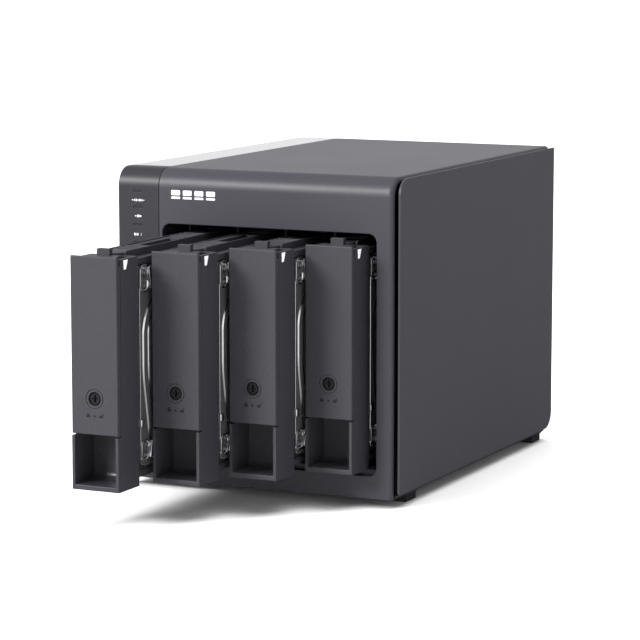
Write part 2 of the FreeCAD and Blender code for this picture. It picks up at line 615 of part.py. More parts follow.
def strip(name, outer, inner, pegEnd):
    """A snap-on strip along one arm, with an oblong slot and two pegs that hold the drive."""
    low, high = (inner, outer) if outer.number > inner.number else (outer, inner)
    plate = box(name + "_plate", -8, 6, 21.4, 158, low, high)
    slot = box(name + "_slot", -3.5, 3, 52, 84, low - 1, high + 1)
    notch = box(name + "_notch", -9, -4, 120, 134, low - 1, high + 1)
    blank = cutAway(name + "_blank", plate, [slot, notch])
    first, last = (low, pegEnd) if pegEnd.number > low.number else (pegEnd, high)
    pegs = [cylinder(f"{name}_peg{number}", "Z", 0, peg, first, 1.45, last - first)
            for number, peg in enumerate(pegY)]
    return fused(name, [blank] + pegs)


def springShape():
    """Six turns of wire about the hinge pin with two straight legs."""
    turns = Part.makeHelix(0.95, 5.7, 1.75)
    wire = Part.Wire(turns.Edges)
    start = wire.Edges[0].valueAt(wire.Edges[0].FirstParameter)
    tangent = wire.Edges[0].tangentAt(wire.Edges[0].FirstParameter)
    section = Part.Wire([Part.makeCircle(0.36, start, tangent)])
    coil = wire.makePipeShell([section], True, True)
    coil.rotate(FreeCAD.Vector(), FreeCAD.Vector(0, 1, 0), 90)
    coil.translate(FreeCAD.Vector(-2.85, hingeY.number, hingeZ.number))
    return coil


def makeDrive(number, x, y):
    coverX = dim("driveCoverX")
    label = f"drive_{number}_"
    casting = newBody(label + "casting", x, y)
    extrude(casting, "X", driveLeft, coverX, rectangle, (driveY, driveLow, driveEnd, driveHigh))
    roundEdges(casting, 3, lambda m, d, e: near(abs(d.x), 1))
    pocket(casting, "X", driveLeft - 1, driveLeft + 1.3, rectangle,
           (driveY + 40, driveLow + 5, driveEnd + 1, driveHigh - 5))
    pocket(casting, "X", driveLeft - 1, driveLeft + 7.4, rectangle,
           (driveEnd - 6.8, driveLow + 7, driveEnd + 1, driveLow + 54))
    pocket(casting, "Z", driveLow - 1, driveLow + 4, circle, *[(0, peg, 1.6) for peg in pegY])
    pocket(casting, "Z", driveHigh - 4, driveHigh + 1, circle, *[(0, peg, 1.6) for peg in pegY])
    # cover plate: a low rim plate with a raised middle and screws at its corners
    cover = newBody(label + "cover", x, y)
    right = dim("driveRight")
    extrude(cover, "X", coverX, coverX + 0.7, rectangle, (driveY + 2, driveLow + 1.6, driveEnd - 2, driveHigh - 1.6))
    roundEdges(cover, 7, lambda m, d, e: near(abs(d.x), 1))
    extrude(cover, "X", coverX + 0.6, right, rectangle, (driveY + 5, driveLow + 9, driveEnd - 12, driveHigh - 9))
    roundEdges(cover, 9, lambda m, d, e: near(abs(d.x), 1) and driveY.number + 4 < m.y < driveEnd.number - 11
               and driveLow.number + 8 < m.z < driveHigh.number - 8)
    corners = [(driveY + 7, driveLow + 5.2), (driveY + 7, driveHigh - 5.2), (driveEnd - 7, driveLow + 5.2),
               (driveEnd - 7, driveHigh - 5.2), (driveY + 73, driveLow + 5), (driveY + 73, driveHigh - 5)]
    extrude(cover, "X", coverX + 0.6, coverX + 1.3, circle, *[(a, b, 2.6) for a, b in corners])
    pcb = newBody(label + "board", x, y)
    boardLeft = driveLeft + 0.1
    extrude(pcb, "X", boardLeft, boardLeft + 1.1, rectangle,
            (driveY + 41, driveLow + 6, driveEnd - 0.5, driveHigh - 6))
    extrude(pcb, "X", boardLeft + 1, boardLeft + 6.4, rectangle,
            (driveEnd - 6, driveLow + 8, driveEnd - 0.5, driveLow + 53))


restY = [dim("trayOne"), dim("trayTwo"), dim("trayThree"), dim("trayFour")]
for number in range(4):
    x, y = trayX[number], restY[number]
    label = f"tray_{number + 1}_"
    makeCarrier(label + "carrier", x, y)
    makeLever(label + "lever", x, y)
    makeLock(label + "lock", x, y)
    guide = newBody(label + "light_guide", x, y)
    extrude(guide, "X", half - 0.5, half + 0.1, polygon, [[(6.9, 133.2), (7.2, 128.6), (9.2, 128.6), (11.1, 133.2)]])
    group(label + "strips", [strip(f"top{number}", driveHigh + 6.6, driveHigh + 3.6, driveHigh - 3),
                             strip(f"bottom{number}", driveLow - 5.0, driveLow - 3.6, driveLow + 3)], x, y)
    hingePin = cylinder(f"hingePin{number}", "X", -12.2, hingeY, hingeZ, 1, 24.4)
    spring = doc.addObject("Part::Feature", f"hingeSpring{number}")
    spring.Shape = springShape()
    group(label + "hinge", [hingePin, spring], x, y)
    makeDrive(number + 1, x, y)

# ---- check and write ------------------------------------------------------------------
doc.recompute()
for thing in doc.Objects:
    if "Invalid" in thing.State or "Error" in thing.State:
        raise RuntimeError(f"{thing.Name} ({thing.Label}) failed: {thing.State}")
os.makedirs("parts", exist_ok=True)
for node, thing in subParts.items():
    if thing.Shape.isNull() or not thing.Shape.isValid() or not thing.Shape.Solids:
        raise RuntimeError(f"{node} has no valid solid")
    thing.Shape.exportStep(f"parts/{node}.step")
    size = thing.Shape.BoundBox
    print(f"{node:22s} {len(thing.Shape.Solids):2d} solids  x {size.XMin:8.2f} {size.XMax:8.2f}"
          f"  y {size.YMin:8.2f} {size.YMax:8.2f}  z {size.ZMin:7.2f} {size.ZMax:7.2f}")
print(len(subParts), "sub-parts")
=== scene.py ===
import json
import math
import bpy
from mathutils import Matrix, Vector

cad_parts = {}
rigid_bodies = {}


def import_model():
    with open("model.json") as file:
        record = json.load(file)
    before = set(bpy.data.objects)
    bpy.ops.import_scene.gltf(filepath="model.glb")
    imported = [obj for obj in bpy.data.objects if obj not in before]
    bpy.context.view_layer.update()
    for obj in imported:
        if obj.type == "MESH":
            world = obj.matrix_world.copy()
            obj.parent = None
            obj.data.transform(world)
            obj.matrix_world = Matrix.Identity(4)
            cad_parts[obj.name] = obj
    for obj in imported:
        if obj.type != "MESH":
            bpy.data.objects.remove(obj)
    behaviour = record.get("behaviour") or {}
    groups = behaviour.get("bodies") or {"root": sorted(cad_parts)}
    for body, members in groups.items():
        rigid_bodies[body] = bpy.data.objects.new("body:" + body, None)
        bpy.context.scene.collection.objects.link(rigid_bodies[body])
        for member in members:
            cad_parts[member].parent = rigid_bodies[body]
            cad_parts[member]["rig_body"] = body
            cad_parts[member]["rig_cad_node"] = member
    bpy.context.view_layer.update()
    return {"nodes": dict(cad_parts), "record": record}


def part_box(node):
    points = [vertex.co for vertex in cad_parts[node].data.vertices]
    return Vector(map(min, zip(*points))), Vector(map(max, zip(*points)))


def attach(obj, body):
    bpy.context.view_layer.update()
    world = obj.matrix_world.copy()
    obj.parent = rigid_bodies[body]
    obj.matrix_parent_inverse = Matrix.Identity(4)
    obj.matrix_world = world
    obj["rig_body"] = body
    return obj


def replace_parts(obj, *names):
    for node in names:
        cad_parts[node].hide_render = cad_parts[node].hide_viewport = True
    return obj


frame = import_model()
print("frame loaded")

mm = 0.001
scene = bpy.context.scene
slotOf = {row["node"]: row["material_slot"] for row in frame["record"]["subparts"]}


def onlySelect(*things):
    if bpy.context.mode != "OBJECT":
        bpy.ops.object.mode_set(mode="OBJECT")
    bpy.ops.object.select_all(action="DESELECT")
    for thing in things:
        thing.select_set(True)
        bpy.context.view_layer.objects.active = thing


def pick(thing, kind, test):
    # selects the vertices, edges or faces that pass the test, then enters edit mode
    onlySelect(thing)
    bpy.ops.object.mode_set(mode="EDIT")
    bpy.ops.mesh.select_mode(type=kind)
    bpy.ops.mesh.select_all(action="DESELECT")
    bpy.ops.object.mode_set(mode="OBJECT")
    mesh = thing.data
    rows = {"VERT": mesh.vertices, "EDGE": mesh.edges, "FACE": mesh.polygons}[kind]
    for row in rows:
        row.select = bool(test(row))
    bpy.ops.object.mode_set(mode="EDIT")


def edgeEnds(mesh, edge):
    return mesh.vertices[edge.vertices[0]].co, mesh.vertices[edge.vertices[1]].co


def runsAlong(mesh, edge, axis):
    start, end = edgeEnds(mesh, edge)
    step = end - start
    return step.length > 1e-7 and abs(step[axis]) > 0.999 * step.length


def block(name, low, high):
    onlySelect()
    middle = [(a + b) / 2 for a, b in zip(low, high)]
    bpy.ops.mesh.primitive_cube_add(size=1, location=middle)
    thing = bpy.context.active_object
    thing.name = name
    thing.scale = [b - a for a, b in zip(low, high)]
    bpy.ops.object.transform_apply(location=True, rotation=True, scale=True)
    return thing


def disc(name, centre, axis, radius, depth, corners=32):
    # a cylinder whose middle is at centre, along axis "X", "Y" or "Z"
    onlySelect()
    turn = {"X": (0, math.pi / 2, 0), "Y": (math.pi / 2, 0, 0), "Z": (0, 0, 0)}[axis]
    bpy.ops.mesh.primitive_cylinder_add(vertices=corners, radius=radius, depth=depth, location=centre,
                                        rotation=turn)
    thing = bpy.context.active_object
    thing.name = name
    bpy.ops.object.transform_apply(location=True, rotation=True, scale=True)
    return thing


def useModifier(thing, kind, **settings):
    onlySelect(thing)
    modifier = thing.modifiers.new(kind.title(), kind)
    for name, value in settings.items():
        setattr(modifier, name, value)
    bpy.ops.object.modifier_apply(modifier=modifier.name)


def softEdges(thing, width, segments=2, angle=35):
    useModifier(thing, "BEVEL", width=width, segments=segments, limit_method="ANGLE",
                angle_limit=math.radians(angle), use_clamp_overlap=True)
    onlySelect(thing)
    bpy.ops.object.shade_smooth_by_angle(angle=math.radians(32))
    useModifier(thing, "WEIGHTED_NORMAL", keep_sharp=True, weight=50)


def joined(name, things):
    onlySelect(*things)
    if len(things) > 1:
        bpy.ops.object.join()
    thing = bpy.context.active_object
    thing.name = name
    return thing


def place(thing, body, finish, slot, *nodes):
    if not thing.data.materials:
        thing.data.materials.append(finish)
    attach(thing, body)
    if nodes:
        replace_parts(thing, *nodes)
    return thing


def softened(node, name, width, finish, segments=2, angle=35):
    # a copy of a CAD node with its edges rounded a little, riding the same body
    source = frame["nodes"][node]
    onlySelect(source)
    bpy.ops.object.duplicate()
    copy = bpy.context.active_object
    copy.name = name
    copy.parent = None
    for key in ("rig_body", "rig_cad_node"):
        if key in copy:
            del copy[key]
    bpy.ops.object.mode_set(mode="EDIT")
    bpy.ops.mesh.select_all(action="SELECT")
    bpy.ops.mesh.remove_doubles(threshold=2e-6)
    bpy.ops.mesh.dissolve_limited(angle_limit=math.radians(0.6))
    bpy.ops.object.mode_set(mode="OBJECT")
    softEdges(copy, width, segments, angle)
    copy.data.materials.clear()
    bodies = frame["record"]["behaviour"]["bodies"]
    body = [owner for owner, members in bodies.items() if node in members][0]
    return place(copy, body, finish, slotOf[node], node)


class Wire:
    # one number in a shader; arithmetic on it adds Math nodes
    def __init__(self, finish, socket):
        self.finish = finish
        self.socket = socket

    def sum(self, operation, first, second):
        return self.finish.node("ShaderNodeMath", {"operation": operation}, {0: first, 1: second})

    def __add__(self, other):
        return self.sum("ADD", self, other)

    def __sub__(self, other):
        return self.sum("SUBTRACT", self, other)

    def __rsub__(self, other):
        return self.sum("SUBTRACT", other, self)

    def __mul__(self, other):
        return self.sum("MULTIPLY", self, other)

    __radd__ = __add__
    __rmul__ = __mul__


class Finish:
    # builds one material around its Principled shader
    def __init__(self, name):
        self.material = bpy.data.materials.new(name)
        self.material.use_nodes = True
        self.tree = self.material.node_tree
        self.shader = self.tree.nodes["Principled BSDF"]
        self.spot = self.node("ShaderNodeTexCoord", {}, {}, "Object")

    def node(self, kind, settings, sockets, output=0):
        node = self.tree.nodes.new(kind)
        for name, value in settings.items():
            if name == "stops":
                for number, (position, colour) in enumerate(value):
                    stops = node.color_ramp.elements
                    stop = stops[number] if number < 2 else stops.new(position)
                    stop.position = position
                    stop.color = colour
            else:
                setattr(node, name, value)
        for name, value in sockets.items():
            self.feed(node.inputs[name], value)
        return Wire(self, node.outputs[output])

    def feed(self, socket, value):
        if isinstance(value, Wire):
            self.tree.links.new(value.socket, socket)
        else:
            socket.default_value = value

    def noise(self, scale, detail=2.0, rough=0.5, spot=None):
        return self.node("ShaderNodeTexNoise", {}, {"Vector": spot or self.spot, "Scale": scale,
                                                    "Detail": detail, "Roughness": rough}, "Fac")

    def stretched(self, x, y, z):
        return self.node("ShaderNodeMapping", {}, {"Vector": self.spot, "Scale": (x, y, z)}, "Vector")

    def mix(self, factor, first, second):
        return self.node("ShaderNodeMix", {"data_type": "RGBA"}, {0: factor, 6: first, 7: second}, 2)

    def smooth(self, value, low, high):
        sockets = {"Value": value, "From Min": low, "From Max": high, "To Min": 0.0, "To Max": 1.0}
        return self.node("ShaderNodeMapRange", {"interpolation_type": "SMOOTHSTEP"}, sockets)

    def bump(self, height, distance, strength=1.0):
        sockets = {"Strength": strength, "Distance": distance, "Height": height}
        self.feed(self.shader.inputs["Normal"], self.node("ShaderNodeBump", {}, sockets, "Normal"))

    def set(self, **values):
        for name, value in values.items():
            self.feed(self.shader.inputs[name.replace("_", " ")], value)
        return self.material


def shade(colour, factor):
    return tuple(min(1.0, part * factor) for part in colour) + (1.0,)


# colour, roughness, grains per metre, height of the grain in metres, spread of the tone, shine
grainedPlastics = {
    "caseBlack": {"colour": (0.033, 0.032, 0.040), "rough": 0.36, "grain": 2600, "height": 0.00003,
                  "spread": 0.08, "shine": 0.30},
    "stripPlastic": {"colour": (0.020, 0.0197, 0.024), "rough": 0.34, "grain": 3600, "height": 0.00001,
                     "spread": 0.06, "shine": 0.28},
    "trayPlastic": {"colour": (0.0285, 0.0288, 0.0345), "rough": 0.44, "grain": 2100,
                    "height": 0.00006, "spread": 0.10, "shine": 0.32},
    # the pocket inside is a smoother copy of the tray plastic, its colour painted slightly lighter to
    # lift the shade in the recess
    "pocketPlastic": {"colour": (0.030, 0.030, 0.0355), "rough": 0.22, "grain": 2100,
                      "height": 0.00002, "spread": 0.10, "shine": 0.42},
    "lockPlastic": {"colour": (0.008, 0.008, 0.009), "rough": 0.34, "grain": 3000, "height": 0.00003,
                    "spread": 0.10, "shine": 0.22},
    "smokedLens": {"colour": (0.017, 0.017, 0.020), "rough": 0.30, "grain": 3000, "height": 0.000005,
                   "spread": 0.06, "shine": 0.28},
    "fanPlastic": {"colour": (0.014, 0.014, 0.015), "rough": 0.42, "grain": 1500, "height": 0.00003,
                   "spread": 0.12, "shine": 0.4},
    "portPlastic": {"colour": (0.010, 0.010, 0.011), "rough": 0.45, "grain": 3500, "height": 0.00003,
                    "spread": 0.1, "shine": 0.4},
    "footRubber": {"colour": (0.009, 0.009, 0.009), "rough": 0.75, "grain": 1800, "height": 0.00008,
                   "spread": 0.2, "shine": 0.3},
    "darkSteel": {"colour": (0.024, 0.024, 0.028), "rough": 0.55, "grain": 1800, "height": 0.00004,
                  "spread": 0.16, "shine": 0.3},
    "switchRed": {"colour": (0.30, 0.018, 0.016), "rough": 0.4, "grain": 3000, "height": 0.00002,
                  "spread": 0.1, "shine": 0.4},
    "sliderWhite": {"colour": (0.72, 0.72, 0.69), "rough": 0.4, "grain": 3000, "height": 0.00002,
                    "spread": 0.06, "shine": 0.4},
}


def grained(name):
    # moulded plastic or powder coat: fine spark-eroded grain over a slow change of tone
    look = grainedPlastics[name]
    finish = Finish(name)
    cloud = finish.noise(14, 3)
    speck = finish.noise(look["grain"] * 0.35, 2)
    grain = finish.noise(look["grain"], 3, 0.62)
    colour, spread = look["colour"], look["spread"]
    tone = finish.mix(cloud, shade(colour, 1 - spread), shade(colour, 1 + spread))
    fleck = finish.smooth(speck, 0.55, 0.8) * 0.35
    tone = finish.mix(fleck, tone, shade(colour, 1.9))
    finish.bump(grain * 0.7 + speck * 0.5, look["height"])
    finish.shader.inputs["Specular IOR Level"].default_value = look["shine"]
    return finish.set(Base_Color=tone, Roughness=look["rough"] + cloud * 0.08 + grain * 0.06)


glossLook = {"colour": (0.012, 0.012, 0.014), "rough": 0.06, "wipe": 0.07}


def glossBlack():
    # piano-black strip: faint wipe marks in the roughness and very shallow flow waves
    finish = Finish("glossBlack")
    wipe = finish.noise(60, 4, 0.6, finish.stretched(1, 0.15, 1))
    wave = finish.noise(25, 1)
    finish.bump(wave, 0.00005, 0.4)
    tone = finish.mix(wave, shade(glossLook["colour"], 0.9), shade(glossLook["colour"], 1.3))
    finish.shader.inputs["Coat Roughness"].default_value = 0.04
    rough = glossLook["rough"] + wipe * glossLook["wipe"]
    return finish.set(Base_Color=tone, Roughness=rough, Coat_Weight=0.6)


metalLooks = {
    "driveCasting": {"colour": (0.30, 0.30, 0.31), "rough": 0.40, "grain": 900, "height": 0.00006,
                     "brush": (1, 1, 1)},
    "driveLid": {"colour": (0.085, 0.085, 0.088), "rough": 0.50, "grain": 700, "height": 0.00001,
                 "brush": (1, 1, 0.06), "metallic": 0.4},
    "polished": {"colour": (0.92, 0.92, 0.93), "rough": 0.17, "grain": 500, "height": 0.000008,
                 "brush": (1, 1, 0.2)},
    "screwSteel": {"colour": (0.50, 0.50, 0.52), "rough": 0.28, "grain": 1500, "height": 0.00001,
                   "brush": (1, 0.3, 1)},
    "portSteel": {"colour": (0.62, 0.62, 0.64), "rough": 0.24, "grain": 1500, "height": 0.00001,
                  "brush": (1, 0.2, 1)},
}


def metal(name):
    look = metalLooks[name]
    finish = Finish(name)
    streak = finish.noise(look["grain"], 4, 0.65, finish.stretched(*look["brush"]))
    stain = finish.noise(40, 3)
    tone = finish.mix(stain, shade(look["colour"], 0.85), shade(look["colour"], 1.12))
    finish.bump(streak, look["height"])
    return finish.set(Base_Color=tone, Metallic=look.get("metallic", 1.0),
                      Roughness=look["rough"] - 0.05 + streak * 0.1 + stain * 0.05)


def circuitBoard():
    # solder mask with pale pads and darker traces between them
    finish = Finish("circuitBoard")
    trace = finish.node("ShaderNodeTexVoronoi", {"feature": "DISTANCE_TO_EDGE", "distance": "EUCLIDEAN"},
                        {"Vector": finish.spot, "Scale": 320.0}, "Distance")
    line = finish.smooth(trace, 0.02, 0.06)
    pad = finish.smooth(finish.noise(900, 0), 0.73, 0.75)
    tone = finish.mix(line, (0.010, 0.062, 0.036, 1), (0.006, 0.040, 0.024, 1))
    tone = finish.mix(pad, tone, (0.55, 0.50, 0.36, 1))
    finish.bump(line * 0.4 + pad * 0.6, 0.00005)
    return finish.set(Base_Color=tone, Roughness=0.42 - pad * 0.12)


def paleGuide():
    finish = Finish("paleGuide")
    cloud = finish.noise(300, 2)
    finish.bump(finish.noise(1500, 2), 0.00001)
    return finish.set(Base_Color=finish.mix(cloud, (0.80, 0.80, 0.80, 1), (0.92, 0.92, 0.92, 1)),
                      Roughness=0.3 + cloud * 0.1)


def printInk():
    finish = Finish("printInk")
    edge = finish.noise(3000, 2)
    finish.bump(edge, 0.00001)
    return finish.set(Base_Color=finish.mix(edge, (0.62, 0.62, 0.62, 1), (0.78, 0.78, 0.78, 1)),
                      Roughness=0.45 + edge * 0.1)


finishes = {name: grained(name) for name in grainedPlastics}
finishes.update({name: metal(name) for name in metalLooks})
finishes.update({"glossBlack": glossBlack(), "circuitBoard": circuitBoard(), "paleGuide": paleGuide(),
                 "printInk": printInk()})
slotFinish = {
    "case_black": "caseBlack", "strip_plastic": "stripPlastic", "gloss_black": "glossBlack",
    "tray_plastic": "trayPlastic", "lock_plastic": "lockPlastic", "steel_dark": "darkSteel",
    "foot_rubber": "footRubber", "screw_steel": "screwSteel", "circuit_board": "circuitBoard",
    "light_guide": "paleGuide", "smoked_lens": "smokedLens", "port_steel": "portSteel",
    "port_plastic": "portPlastic", "switch_red": "switchRed", "slider_white": "sliderWhite",
    "fan_plastic": "fanPlastic",
    "drive_casting": "driveCasting", "drive_cover": "driveLid",
}
for nodeName, slotName in slotOf.items():
    node = frame["nodes"][nodeName]
    node.data.materials.clear()
    node.data.materials.append(finishes[slotFinish[slotName]])
print("materials made")

# how far the case edges are rounded, in millimetres
caseEdges = {"main_cover": 0.35, "status_panel": 0.3, "top_strip": 0.3, "right_side_panel": 0.25,
             "left_side_panel": 0.25, "feet": 0.8, "power_button": 0.25}
for node, width in caseEdges.items():
    words = node.split("_")
    pieceName = words[0] + "".join(word.title() for word in words[1:])
    softened(node, pieceName, width * mm, finishes[slotFinish[slotOf[node]]])
print("case softened")

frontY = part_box("main_cover")[0].y
markLook = {"left": -48.6, "pitch": 6.75, "width": 5.1, "low": 153.1, "split": 154.6, "high": 157.6,
            "gap": 0.35, "proud": 0.06}


def printedPlate(name, left, right, low, high, corner):
    # a raised patch of ink on the front, sizes in millimetres
    plate = block(name, (left * mm, frontY - markLook["proud"] * mm, low * mm),
                  (right * mm, frontY + 0.1 * mm, high * mm))
    pick(plate, "EDGE", lambda edge: runsAlong(plate.data, edge, 1))
    bpy.ops.mesh.bevel(offset=corner * mm, segments=4)
    bpy.ops.object.mode_set(mode="OBJECT")
    return plate


def baySymbol():
    # four little trays side by side: a tall lever over a short finger pocket
    plates = []
    for number in range(4):
        left = markLook["left"] + number * markLook["pitch"]
        right = left + markLook["width"]
        top, bottom = markLook["split"] + markLook["gap"], markLook["split"] - markLook["gap"]
        plates.append(printedPlate(f"bayLever{number}", left, right, top, markLook["high"], 0.5))
        plates.append(printedPlate(f"bayPocket{number}", left, right, markLook["low"], bottom, 0.3))
    return place(joined("baySymbol", plates), "chassis", finishes["printInk"], "light_guide")


baySymbol()

labelLook = {"x": -68.2, "rows": [151.5, 143.2, 133.6, 124.2, 114.9, 105.6], "size": 1.3, "digit": 2.0}


def statusLabels():
    # plain signs under the indicator windows: a pulse, a plug, then the bay numbers
    bars = []
    x, size = labelLook["x"], labelLook["size"]

    def bar(name, shift, z, wide, tall):
        left = x + (shift - wide / 2) * size
        half = tall / 2 * size
        bars.append(printedPlate(name, left, left + wide * size, z - half, z + half, 0.1))

    for row, z in enumerate(labelLook["rows"]):
        if row == 0:
            for step, tall in enumerate((0.35, 0.7, 1.0, 0.5, 1.0, 0.7, 0.35)):
                bar(f"pulse{step}", (step - 3) * 0.85, z, 0.45, tall)
        elif row == 1:
            bar("plugBody", 0.1, z, 1.0, 0.95)
            bar("plugTip", 1.1, z, 0.6, 0.55)
            bar("plugLead", -1.1, z, 0.9, 0.3)
        else:
            bar(f"driveSign{row}", -1.5, z, 0.75, 0.95)
            bar(f"driveSlot{row}", -0.4, z, 0.75, 0.95)
            corner = ((x + size * 0.9) * mm, frontY - 0.03 * mm, (z - size * 0.52) * mm)
            bpy.ops.object.text_add(location=corner, rotation=(math.pi / 2, 0, 0))
            digit = bpy.context.active_object
            digit.data.body = str(row - 1)
            digit.data.size = labelLook["digit"] * mm
            digit.data.extrude = 0.03 * mm
            bpy.ops.object.convert(target="MESH")
            bpy.ops.object.transform_apply(location=True, rotation=True, scale=True)
            bars.append(digit)
    return place(joined("statusLabels", bars), "chassis", finishes["printInk"], "light_guide")


statusLabels()
print("front marks made")

# how far the tray edges are rounded, in millimetres
trayEdges = {"lever": 0.35, "carrier": 0.3, "strips": 0.35, "lock": 0.15, "light_guide": 0.05}
lidLook = {"plate": 0.65, "corner": 4, "panelFront": 2.0, "panelLow": 9.5, "panelHigh": 15.2,
           "panelRear": 20, "round": 5, "slope": 0.75, "raise": 0.5, "band": 3.8, "step": 0.55,
           "stepRaise": 0.34, "screwInset": 4.4, "screw": 1.3}
leanLook = {"low": {"end": 36, "across": (-0.985, -0.18)}, "high": {"end": 12.5, "across": (-0.84, 0.54)}}
lugLook = {"wide": 8.6, "round": 3.4, "rim": 0.8, "wall": 0.35, "deep": 0.75, "finProud": 1.5,
           "finTaper": 0.35, "screw": 1.9, "rivet": 1.1}
# each fin of a lug: lean in degrees, distance from the front, width, and half its length as a share
lugFins = ((-7, 9.8, 2.4, 0.40), (14, 12.6, 0.8, 0.34), (-24, 7.2, 0.7, 0.42))
studLook = {"left": 1.0, "right": 1.5, "front": 0.6, "rear": 2.9, "low": 19.7, "high": 23.9, "round": 0.7}


def turnedInX(thing, degrees, centre):
    # turns a piece about a line along X
    pick(thing, "VERT", lambda point: True)
    bpy.ops.transform.rotate(value=math.radians(degrees), orient_axis="X", center_override=centre)
    bpy.ops.object.mode_set(mode="OBJECT")


def torxHead(name, x, y, z, radius):
    head = disc(name, (x, y, z), "X", radius, 0.8 * mm, 24)
    pick(head, "FACE", lambda face: face.normal.x > 0.9)
    bpy.ops.mesh.inset(thickness=radius * 0.52, depth=0)
    bpy.ops.mesh.extrude_region_move(TRANSFORM_OT_translate={"value": (-0.5 * mm, 0, 0)})
    bpy.ops.object.mode_set(mode="OBJECT")
    softEdges(head, 0.12 * mm)
    head.data.materials.append(finishes["screwSteel"])
    return head


def lidPanel(number, low, high):
    # raised panel: straight front edge that leans back towards its ends, with a bright sloping rim
    front = low.y + lidLook["panelFront"] * mm
    bottom, top = low.z + lidLook["panelLow"] * mm, high.z - lidLook["panelHigh"] * mm
    panel = block(f"lidPanel{number}", (low.x + 0.5 * mm, front, bottom),
                  (low.x + (lidLook["plate"] + 0.1) * mm, high.y - lidLook["panelRear"] * mm, top))
    bends = {"low": bottom + leanLook["low"]["end"] * mm, "high": top - leanLook["high"]["end"] * mm}
    for end, z in bends.items():
        pick(panel, "FACE", lambda face: True)
        bpy.ops.mesh.bisect(plane_co=(low.x, front, z), plane_no=(0,) + leanLook[end]["across"],
                            use_fill=True, clear_outer=True)
        bpy.ops.object.mode_set(mode="OBJECT")
    pick(panel, "EDGE", lambda edge: runsAlong(panel.data, edge, 0))
    bpy.ops.mesh.bevel(offset=lidLook["round"] * mm, segments=7, clamp_overlap=True)
    pick(panel, "FACE", lambda face: face.normal.x > 0.9)
    bpy.ops.mesh.inset(thickness=lidLook["slope"] * mm, depth=lidLook["raise"] * mm)
    bpy.ops.mesh.inset(thickness=lidLook["band"] * mm, depth=0)
    bpy.ops.mesh.inset(thickness=lidLook["step"] * mm, depth=lidLook["stepRaise"] * mm)
    bpy.ops.object.mode_set(mode="OBJECT")
    panel.data.materials.append(finishes["driveLid"])
    panel.data.materials.append(finishes["polished"])
    for face in panel.data.polygons:
        face.material_index = 1 if 0.2 < face.normal.x < 0.96 else 0
    softEdges(panel, 0.08 * mm, 2, 20)
    return panel


def cornerCasting(number, low, y, bottom, top, up):
    # bright lug at a lid corner: an oval tray holding a screw and a rivet, with a forked web behind it
    x = low.x + 0.3 * mm
    tall, middle = top - bottom, (top + bottom) / 2
    lug = block(f"lug{number}", (x, y, bottom), (x + 1.0 * mm, y + lugLook["wide"] * mm, top))
    pick(lug, "EDGE", lambda edge: runsAlong(lug.data, edge, 0))
    bpy.ops.mesh.bevel(offset=lugLook["round"] * mm, segments=6)
    pick(lug, "FACE", lambda face: face.normal.x > 0.9)
    bpy.ops.mesh.inset(thickness=lugLook["rim"] * mm, depth=0)
    bpy.ops.mesh.inset(thickness=lugLook["wall"] * mm, depth=-lugLook["deep"] * mm)
    bpy.ops.object.mode_set(mode="OBJECT")
    softEdges(lug, 0.2 * mm, 3)
    things = [lug]
    for degrees, shift, wide, reach in lugFins:
        centre = (x, y + shift * mm, middle)
        fin = block(f"fin{number}", (x, y + (shift - wide / 2) * mm, middle - reach * tall),
                    (x + lugLook["finProud"] * mm, y + (shift + wide / 2) * mm, middle + reach * tall))
        pick(fin, "FACE", lambda face: face.normal.z * up < -0.9)
        bpy.ops.transform.resize(value=(1, lugLook["finTaper"], 1), center_override=centre)
        bpy.ops.object.mode_set(mode="OBJECT")
        turnedInX(fin, degrees * up, centre)
        softEdges(fin, min(0.55, wide * 0.3) * mm, 3)
        things.append(fin)
    lug = joined(f"lug{number}", things)
    lug.data.materials.append(finishes["polished"])
    floorX = x + 0.75 * mm
    screw = torxHead("lidScrew", floorX, y + 3.9 * mm, middle + 0.2 * up * tall, lugLook["screw"] * mm)
    rivet = torxHead("lidRivet", floorX, y + 4.6 * mm, middle - 0.27 * up * tall, lugLook["rivet"] * mm)
    return [lug, screw, rivet]


def driveLid(number):
    node = f"drive_{number}_cover"
    low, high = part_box(node)
    lid = block(f"lidPlate{number}", low, (low.x + lidLook["plate"] * mm, high.y, high.z))
    pick(lid, "EDGE", lambda edge: runsAlong(lid.data, edge, 0))
    bpy.ops.mesh.bevel(offset=lidLook["corner"] * mm, segments=8)
    bpy.ops.object.mode_set(mode="OBJECT")
    lid.data.materials.append(finishes["driveLid"])
    lid.data.materials.append(finishes["polished"])
    softEdges(lid, 0.3 * mm)
    for face in lid.data.polygons:
        face.material_index = 1 if 0.2 < face.normal.x < 0.96 else 0
    things = [lid, lidPanel(number, low, high)]
    for front in (low.y - 0.2 * mm, high.y - 14 * mm):
        things += cornerCasting(number, low, front, high.z - 11.8 * mm, high.z + 1.9 * mm, 1)
        things += cornerCasting(number, low, front, low.z + 2.4 * mm, low.z + 13.2 * mm, -1)
    inset = lidLook["screwInset"] * mm
    for z in (low.z + inset, high.z - inset):
        screwY = (low.y + high.y) / 2
        things.append(torxHead("lidScrew", low.x + 0.9 * mm, screwY, z, lidLook["screw"] * mm))
    stud = block("lidStud", (low.x - studLook["left"] * mm, low.y - studLook["front"] * mm,
                             low.z + studLook["low"] * mm),
                 (low.x + studLook["right"] * mm, low.y + studLook["rear"] * mm,
                  low.z + studLook["high"] * mm))
    softEdges(stud, studLook["round"] * mm, 3)
    stud.data.materials.append(finishes["polished"])
    things.append(stud)
    lidPiece = joined(f"driveLid{number}", things)
    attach(lidPiece, f"tray_{number}")
    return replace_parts(lidPiece, node)


# signs under the lock, each bar as shift, rise, width and height from the middle sign
lockSigns = {"shutBody": (-3.6, 0, 2.0, 1.2), "shutArch": (-3.6, 1.1, 1.2, 0.5),
             "dot": (0, 0.1, 1.0, 1.0), "openBody": (3.6, 0, 2.0, 1.2), "openArch": (4.4, 1.1, 1.2, 0.5)}


